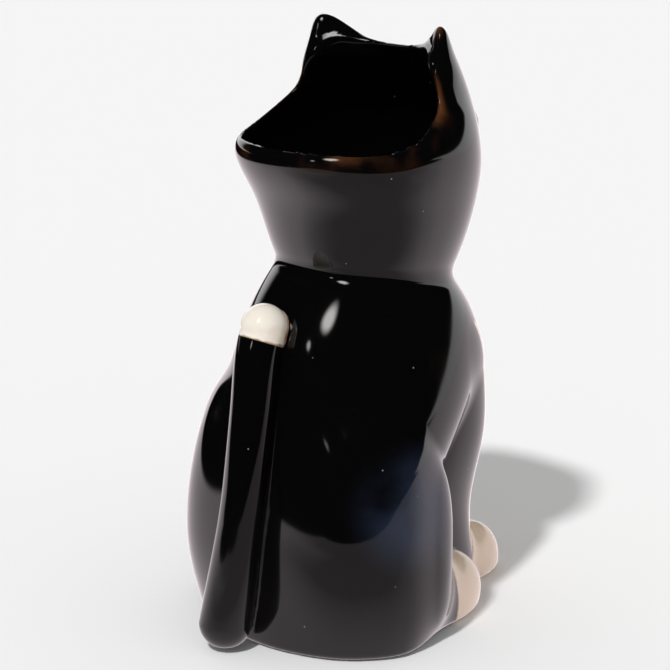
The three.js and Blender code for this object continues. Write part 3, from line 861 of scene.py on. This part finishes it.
def curl(p, reach=1.5):
    """How sharply the surface bends outward, per millimetre."""
    total = -6.0 * in_batches(vase_field, p)
    for axis in range(3):
        shift = np.zeros(3)
        shift[axis] = reach
        total += in_batches(vase_field, p + shift) + in_batches(vase_field, p - shift)
    return total / reach ** 2


low = np.array(cad_low) / MM - MESH_MARGIN
high = np.array(cad_high) / MM + MESH_MARGIN
points, triangles = mesh_field(vase_field, low, high, CELL)
body = Surface(relax(vase_field, settle(vase_field, points), triangles), triangles)
pieces = {}
sides = {"tail_tip": tail_tip_side}
for name, sign in (("left", 1), ("right", -1)):
    sides[name + "_hind_paw"] = outer(hind_paw_side, sign)
    sides[name + "_fore_paw"] = outer(fore_paw_side, sign)
    sides[name + "_eye"] = outer(eye_side, sign)
sides["nose"] = outer(nose_side)
sides["muzzle"] = outer(muzzle_side)
sides["base_slab"] = bare_side
for name, side in sides.items():
    pieces[name] = take_skin(body, side, vase_field, SKIN_DEPTH)
pieces["head"], pieces["torso"] = split_shell(body, lambda p: level_of(p) - NECK_HEIGHT, vase_field)

REPLACED = {
    "head": ["head_bowl", "left_ear", "right_ear"],
    "torso": ["torso_shell", "left_haunch", "right_haunch", "left_foreleg", "right_foreleg", "tail"],
}
SLOTS = {
    "head": "black_glaze",
    "torso": "black_glaze",
    "base_slab": "bare_clay",
    "nose": "nose_glaze",
    "left_eye": "eye_glaze",
    "right_eye": "eye_glaze",
}


# Materials, all worked out from the place on the vase and the marks on its points

class Graph:
    """Short ways to add the nodes of one shader."""

    def __init__(self, tree):
        self.tree = tree

    def put(self, socket, value):
        """Links a socket to another one, or sets it to a number or a colour."""
        if isinstance(value, bpy.types.NodeSocket):
            self.tree.links.new(value, socket)
        elif isinstance(value, tuple):
            socket.default_value = (*value, 1.0)
        else:
            socket.default_value = value

    def add(self, kind, **settings):
        node = self.tree.nodes.new("ShaderNode" + kind)
        for setting, value in settings.items():
            setattr(node, setting, value)
        return node

    def math(self, operation, a, b=0.0):
        node = self.add("Math", operation=operation)
        self.put(node.inputs[0], a)
        self.put(node.inputs[1], b)
        return node.outputs[0]

    def times(self, a, b):
        return self.math("MULTIPLY", a, b)

    def ramp(self, value, low, high, start=0.0, end=1.0):
        """From start at low to end at high, eased."""
        node = self.add("MapRange", interpolation_type="SMOOTHSTEP")
        sockets = ("Value", "From Min", "From Max", "To Min", "To Max")
        for socket, number in zip(sockets, (value, low, high, start, end)):
            self.put(node.inputs[socket], number)
        return node.outputs["Result"]

    def choose(self, share, a, b):
        """The number a, or b where the share is 1."""
        node = self.add("Mix")
        for socket, value in zip((0, 2, 3), (share, a, b)):
            self.put(node.inputs[socket], value)
        return node.outputs[0]

    def tint(self, share, a, b):
        """The colour a, or b where the share is 1."""
        node = self.add("Mix", data_type="RGBA")
        for socket, value in zip((0, 6, 7), (share, a, b)):
            self.put(node.inputs[socket], value)
        return node.outputs[2]

    def place(self):
        return self.add("TexCoord").outputs["Object"]

    def noise(self, scale, detail=2.0):
        """Cloudy values about 0.5, with about scale clouds to the metre."""
        node = self.add("TexNoise")
        self.put(node.inputs["Vector"], self.place())
        self.put(node.inputs["Scale"], scale)
        self.put(node.inputs["Detail"], detail)
        return node.outputs[0]

    def specks(self, scale, radius, share):
        """1 in small round spots, scale of them to the metre, of which only a share is kept."""
        node = self.add("TexVoronoi")
        self.put(node.inputs["Vector"], self.place())
        self.put(node.inputs["Scale"], scale)
        kept = self.math("LESS_THAN", self.split(node.outputs["Color"])[0], share)
        spots = self.ramp(node.outputs["Distance"], radius * scale, 0.5 * radius * scale)
        return self.times(kept, spots)

    def split(self, vector):
        node = self.add("SeparateXYZ")
        self.put(node.inputs[0], vector)
        return node.outputs

    def mark(self, name):
        """The value that each point carries under a name."""
        return self.add("Attribute", attribute_name=name).outputs["Fac"]

    def bump(self, height, distance):
        node = self.add("Bump")
        self.put(node.inputs["Height"], height)
        self.put(node.inputs["Distance"], distance)
        return node.outputs[0]


def new_material(name):
    material = bpy.data.materials.new(name)
    material.use_nodes = True
    return material, Graph(material.node_tree), material.node_tree.nodes["Principled BSDF"].inputs


BLACK = (0.0018, 0.0016, 0.0018)
# Blue of the painted reflection on the haunches
NAVY = (0.016, 0.024, 0.044)
BROWN_BREAK = (0.10, 0.036, 0.012)
PINPRICK = (0.22, 0.22, 0.24)
CREAM = (0.80, 0.74, 0.65)
# A deeper cream: painted shade low down on the paws, and a random tone in the bib
DEEP_CREAM_AND_SHADE = (0.80, 0.62, 0.48)
PAW_BLUSH = (0.66, 0.5, 0.38)
LINE_BROWN = (0.20, 0.085, 0.03)
CLAY = (0.56, 0.42, 0.3)
PALE_CLAY = (0.64, 0.52, 0.39)
CLAY_GRAIN = (0.4, 0.28, 0.18)
NOSE_PINK = (0.5, 0.22, 0.2)
NOSE_DEEP = (0.4, 0.16, 0.15)
NOSE_LINE = (0.08, 0.03, 0.025)
AMBER = (0.5, 0.34, 0.05)
AMBER_DEEP = (0.36, 0.27, 0.06)


def black_glaze():
    """Black that breaks to brown where it runs thin on edges, with a painted blue reflection on each
    haunch and a cream bib.
    """
    material, graph, shader = new_material("black_glaze")
    # Painted reflection: a cloudy blue patch on each haunch, mixed into the black
    painted_reflection = graph.ramp(graph.noise(28.0, 3.0), 0.22, 0.56)
    painted_reflection = graph.times(painted_reflection, graph.ramp(graph.mark("haunch"), 31.0, 8.0))
    base = graph.tint(painted_reflection, BLACK, NAVY)
    thin = graph.ramp(graph.mark("curl"), 0.25, 0.56, 0.0, 0.9)
    thin = graph.times(thin, graph.ramp(graph.noise(26.0, 4.0), 0.47, 0.63))
    thin = graph.times(thin, graph.ramp(graph.mark("outside"), -0.5, 1.0))
    base = graph.tint(thin, base, BROWN_BREAK)
    base = graph.tint(graph.specks(130.0, 0.0004, 0.5), base, PINPRICK)
    bib = graph.mark("bib")
    cream = graph.tint(graph.ramp(graph.noise(70.0, 3.0), 0.35, 0.7), CREAM, DEEP_CREAM_AND_SHADE)
    cream = graph.tint(graph.ramp(bib, 1.0, 0.2), cream, LINE_BROWN)
    graph.put(shader["Base Color"], graph.tint(graph.ramp(bib, -0.2, 0.2), base, cream))
    graph.put(shader["Roughness"], graph.ramp(graph.noise(30.0, 3.0), 0.35, 0.7, 0.04, 0.08))
    graph.put(shader["Normal"], graph.bump(graph.noise(50.0, 1.0), 0.00004))
    return material


def white_glaze():
    """Cream, darker and warmer low down on the paws as painted shade, thin and brown along its edge,
    brown in its creases as painted shade, and with a few specks.
    """
    material, graph, shader = new_material("white_glaze")
    height = graph.split(graph.place())[2]
    # Painted shade: darker and warmer low down, on the paws
    base = graph.tint(graph.ramp(height, 0.05, 0.11), DEEP_CREAM_AND_SHADE, CREAM)
    base = graph.tint(graph.ramp(graph.noise(55.0, 4.0), 0.45, 0.75, 0.0, 0.35), base, PAW_BLUSH)
    wander = graph.ramp(graph.noise(160.0, 2.0), 0.3, 0.7, 0.2, 1.2)
    line = graph.ramp(graph.math("SUBTRACT", graph.mark("edge"), wander), 0.5, -0.3)
    base = graph.tint(graph.times(line, 0.85), base, LINE_BROWN)
    # Painted shade: brown in the creases, where the surface bends inward
    base = graph.tint(graph.ramp(graph.mark("curl"), -0.1, -0.5, 0.0, 0.8), base, LINE_BROWN)
    base = graph.tint(graph.specks(220.0, 0.0003, 0.6), base, BROWN_BREAK)
    graph.put(shader["Base Color"], base)
    graph.put(shader["Roughness"], graph.ramp(graph.noise(40.0, 3.0), 0.3, 0.7, 0.12, 0.22))
    graph.put(shader["Normal"], graph.bump(graph.noise(60.0, 2.0), 0.00008))
    return material


def bare_clay():
    """Unglazed clay with a sandy grain."""
    material, graph, shader = new_material("bare_clay")
    grain = graph.noise(900.0, 4.0)
    base = graph.tint(graph.ramp(graph.noise(40.0, 3.0), 0.3, 0.7), CLAY, PALE_CLAY)
    base = graph.tint(graph.ramp(grain, 0.5, 0.75, 0.0, 0.5), base, CLAY_GRAIN)
    graph.put(shader["Base Color"], base)
    graph.put(shader["Roughness"], graph.ramp(grain, 0.3, 0.7, 0.75, 0.92))
    graph.put(shader["Normal"], graph.bump(grain, 0.0003))
    return material


def nose_glaze():
    """Dusty pink, darker along its edge."""
    material, graph, shader = new_material("nose_glaze")
    base = graph.tint(graph.ramp(graph.noise(180.0, 3.0), 0.35, 0.7), NOSE_PINK, NOSE_DEEP)
    base = graph.tint(graph.ramp(graph.mark("edge"), 0.9, 0.1), base, NOSE_LINE)
    graph.put(shader["Base Color"], base)
    graph.put(shader["Roughness"], graph.ramp(graph.noise(120.0, 2.0), 0.3, 0.7, 0.1, 0.2))
    return material


def eye_glaze():
    """Amber with an upright slit and a dark line round it."""
    material, graph, shader = new_material("eye_glaze")
    across, along, up = graph.split(graph.place())
    turn = math.radians(EYE_ANGLE)
    left = graph.math("SUBTRACT", graph.math("ABSOLUTE", across), eye_left * MM)
    back = graph.math("ADD", along, eye_ahead * MM)
    side = graph.math("ADD", graph.times(left, math.cos(turn)), graph.times(back, math.sin(turn)))
    rise = graph.math("DIVIDE", graph.math("SUBTRACT", up, EYE_HEIGHT * MM), PUPIL_HALF_HEIGHT * MM)
    width = graph.times(graph.math("SUBTRACT", 1.0, graph.times(rise, rise)), PUPIL_HALF_WIDTH * MM)
    slit = graph.math("SUBTRACT", graph.math("ABSOLUTE", side), width)
    base = graph.tint(graph.ramp(graph.noise(260.0, 3.0), 0.3, 0.7), AMBER, AMBER_DEEP)
    base = graph.tint(graph.ramp(slit, PUPIL_EDGE * MM, -PUPIL_EDGE * MM), base, BLACK)
    base = graph.tint(graph.ramp(graph.mark("edge"), 1.0, 0.3), base, BLACK)
    graph.put(shader["Base Color"], base)
    graph.put(shader["Roughness"], graph.ramp(graph.noise(90.0, 2.0), 0.3, 0.7, 0.04, 0.1))
    return material


MATERIALS = {
    "black_glaze": black_glaze(),
    "white_glaze": white_glaze(),
    "bare_clay": bare_clay(),
    "nose_glaze": nose_glaze(),
    "eye_glaze": eye_glaze(),
}
SHELL_MARKS = {"bib": bib_side, "outside": outside_side, "haunch": haunch_reflection_spot}
for name, surface in pieces.items():
    marks = {"edge": sides[name]} if name in sides else SHELL_MARKS
    piece = make_object(name + "_piece", surface, vase_field, curl=curl, **marks)
    slot = SLOTS.get(name, "white_glaze")
    piece.data.materials.append(MATERIALS[slot])
    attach(piece, "root")
    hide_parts(*REPLACED.get(name, [name]))

# Stage: a pale floor and backdrop under a soft key light, with a dark room behind the camera
scene = bpy.context.scene
PALE = 0.88
FILL = 0.5
ROOM = 0.002
TO_CAMERA = Vector((-math.sqrt(0.5), math.sqrt(0.5), 0.0))
TO_RIGHT = Vector((-math.sqrt(0.5), -math.sqrt(0.5), 0.0))


def toward(turn, rise):
    """A direction that is turned to the right of the camera and raised, both in degrees."""
    turn, rise = math.radians(turn), math.radians(rise)
    level = TO_CAMERA * math.cos(turn) + TO_RIGHT * math.sin(turn)
    return level * math.cos(rise) + Vector((0.0, 0.0, math.sin(rise)))


def add_stage(name, corners, faces, material):
    mesh = bpy.data.meshes.new(name)
    mesh.from_pydata(corners, [], faces)
    mesh.materials.append(material)
    obj = bpy.data.objects.new(name, mesh)
    scene.collection.objects.link(obj)
    return obj


def seen_in_gloss_only(obj):
    obj.visible_camera = False
    obj.visible_diffuse = False
    obj.visible_transmission = False
    obj.visible_shadow = False


def glow_material(name, color):
    """A material that only glows, with its graph and the socket for its strength."""
    material = bpy.data.materials.new(name)
    material.use_nodes = True
    graph = Graph(material.node_tree)
    nodes = material.node_tree.nodes
    nodes.remove(nodes["Principled BSDF"])
    glow = graph.add("Emission")
    graph.put(glow.inputs["Color"], color)
    graph.put(nodes["Material Output"].inputs["Surface"], glow.outputs[0])
    return material, graph, glow.inputs["Strength"]


CORNERS = ((-1, -1), (1, -1), (1, 1), (-1, 1))
FLOOR_HALF = 9.0
FLOOR_DROP = 0.0004
FLOOR_ROUGHNESS = 0.9
floor_corners = [(x * FLOOR_HALF, y * FLOOR_HALF, -FLOOR_DROP) for x, y in CORNERS]
floor_material, floor_graph, floor_shader = new_material("floor")
floor_graph.put(floor_shader["Base Color"], (PALE, PALE, PALE))
floor_graph.put(floor_shader["Roughness"], FLOOR_ROUGHNESS)
floor_graph.put(floor_shader["Specular IOR Level"], 0.0)
add_stage("floor", floor_corners, [(0, 1, 2, 3)], floor_material)

# What the glaze shows of the floor: a pale table, lit from the far side.
# It is dark past its near and left edges, over a short fade.
# Each line is a distance to the right of the vase or towards the camera.
GLOSS_LIGHT = 1.4
GLOSS_FRONT = 0.38
GLOSS_TURNS = (40.0, 100.0)
GLOSS_DROP = 0.0002
TABLE_TINT = (1.0, 0.9, 0.94)
TABLE_END = 40.0
TABLE_LEFT = -0.46
TABLE_LEFT_FADE = 0.08
TABLE_NEAR = 0.5
TABLE_NEAR_FADE = 0.04
TABLE_RIGHT_LINES = (
    -TABLE_END, TABLE_LEFT - TABLE_LEFT_FADE, TABLE_LEFT, -0.35, -0.12, 0.12, 0.35, 1.2, TABLE_END,
)
TABLE_FRONT_LINES = (
    -TABLE_END, -0.3, -0.12, 0.0, 0.12, 0.3, TABLE_NEAR, TABLE_NEAR + TABLE_NEAR_FADE, TABLE_END,
)


def gloss_light(right, front):
    """How bright a spot of the table looks in the glaze."""
    if front > TABLE_NEAR or right < TABLE_LEFT:
        return ROOM
    turned = math.degrees(math.atan2(abs(right), front))
    return mix(GLOSS_FRONT, GLOSS_LIGHT, float(ease(*GLOSS_TURNS, turned)))


gloss_spots = [(right, front) for right in TABLE_RIGHT_LINES for front in TABLE_FRONT_LINES]
gloss_below = Vector((0.0, 0.0, GLOSS_DROP))
gloss_corners = [TO_RIGHT * right + TO_CAMERA * front - gloss_below for right, front in gloss_spots]
columns = len(TABLE_FRONT_LINES)
gloss_faces = [
    (row * columns + i, row * columns + i + 1, (row + 1) * columns + i + 1, (row + 1) * columns + i)
    for row in range(len(TABLE_RIGHT_LINES) - 1) for i in range(columns - 1)
]
gloss_material, gloss_graph, gloss_strength = glow_material("table_in_gloss", TABLE_TINT)
gloss_graph.put(gloss_strength, gloss_graph.mark("light"))
gloss_floor = add_stage("table_in_gloss", gloss_corners, gloss_faces, gloss_material)
gloss_layer = gloss_floor.data.attributes.new("light", "FLOAT", "POINT")
gloss_layer.data.foreach_set("value", [gloss_light(*spot) for spot in gloss_spots])
seen_in_gloss_only(gloss_floor)

# Bright panels that are seen only in the glaze: the key light's own, and a low one to its left
PANEL_DISTANCE = 2.0
PANEL_FADE = (1.0, 0.35)
PANEL_TINT = (1.0, 0.99, 0.97)


def add_panel(name, turn, rise, half_width, half_height, strength):
    """A panel that faces the vase and fades out towards its edge."""
    middle = toward(turn, rise) * PANEL_DISTANCE
    side = toward(turn + 90.0, 0.0) * half_width
    up = toward(turn + 180.0, 90.0 - rise) * half_height
    corners = [middle + side * i + up * j for i, j in CORNERS]
    material, graph, glow_strength = glow_material(name, PANEL_TINT)
    reach = graph.add("VectorMath", operation="LENGTH")
    graph.put(reach.inputs[0], graph.add("UVMap").outputs[0])
    graph.put(glow_strength, graph.ramp(reach.outputs["Value"], *PANEL_FADE, 0.0, strength))
    panel = add_stage(name, corners, [(0, 1, 2, 3)], material)
    layer = panel.data.uv_layers.new(name="panel")
    for corner, spot in zip(layer.data, CORNERS):
        corner.uv = spot
    seen_in_gloss_only(panel)


add_panel("key_panel", turn=-30.0, rise=44.0, half_width=0.3, half_height=0.4, strength=11.0)
add_panel("low_panel", turn=-47.0, rise=25.0, half_width=0.10, half_height=0.13, strength=7.0)

SUN_ENERGY = 2.12
SUN_ANGLE = 4.0
SUN_TURN = -27.0
SUN_RISE = 53.0
sun_data = bpy.data.lights.new("key", "SUN")
sun_data.energy = SUN_ENERGY
sun_data.angle = math.radians(SUN_ANGLE)
sun = bpy.data.objects.new("key", sun_data)
scene.collection.objects.link(sun)
sun.rotation_euler = toward(SUN_TURN, SUN_RISE).to_track_quat("Z", "Y").to_euler()
sun.visible_glossy = False

# The world is pale to the camera. In the glaze it is pale low on the far side, and dark elsewhere.
LOW_TURN = 160.0
LOW_SLOPE = 5.0
LOW_EDGE = (0.03, 0.18)
FAR_TURN = 190.0
FAR_EDGE = (0.78, 0.90)
world = bpy.data.worlds.new("studio")
scene.world = world
world.use_nodes = True
world.node_tree.nodes.clear()
sky = Graph(world.node_tree)
direction = sky.add("TexCoord").outputs["Generated"]


def facing(turn, slope, edge):
    """1 in the directions about a turn, which reach less far up the larger the slope is."""
    node = sky.add("VectorMath", operation="DOT_PRODUCT")
    node.inputs[1].default_value = toward(turn, 0.0) - Vector((0.0, 0.0, slope))
    sky.put(node.inputs[0], direction)
    return sky.ramp(node.outputs["Value"], *edge)


pale = sky.math("MAXIMUM", facing(LOW_TURN, LOW_SLOPE, LOW_EDGE), facing(FAR_TURN, 0.0, FAR_EDGE))
room = sky.choose(pale, ROOM, GLOSS_LIGHT)
path = sky.add("LightPath")
seen = sky.choose(path.outputs["Is Glossy Ray"], FILL, room)
seen = sky.choose(path.outputs["Is Transmission Ray"], seen, PALE)
seen = sky.choose(path.outputs["Is Camera Ray"], seen, PALE)
backdrop = sky.add("Background")
sky.put(backdrop.inputs["Color"], (1.0, 1.0, 1.0))
sky.put(backdrop.inputs["Strength"], seen)
sky.put(sky.add("OutputWorld").inputs["Surface"], backdrop.outputs[0])

CAMERA_DISTANCE = 0.78
CAMERA_HEIGHT = 0.338
CAMERA_DIP = 15.52644
CAMERA_LENS = 104.325
CAMERA_SENSOR = 36.0
camera_data = bpy.data.cameras.new("camera")
camera_data.lens = CAMERA_LENS
camera_data.sensor_width = CAMERA_SENSOR
camera = bpy.data.objects.new("camera", camera_data)
scene.collection.objects.link(camera)
camera.location = TO_CAMERA * CAMERA_DISTANCE + Vector((0.0, 0.0, CAMERA_HEIGHT))
camera.rotation_euler = toward(0.0, CAMERA_DIP).to_track_quat("Z", "Y").to_euler()
scene.camera = camera
scene.view_settings.view_transform = "Standard"
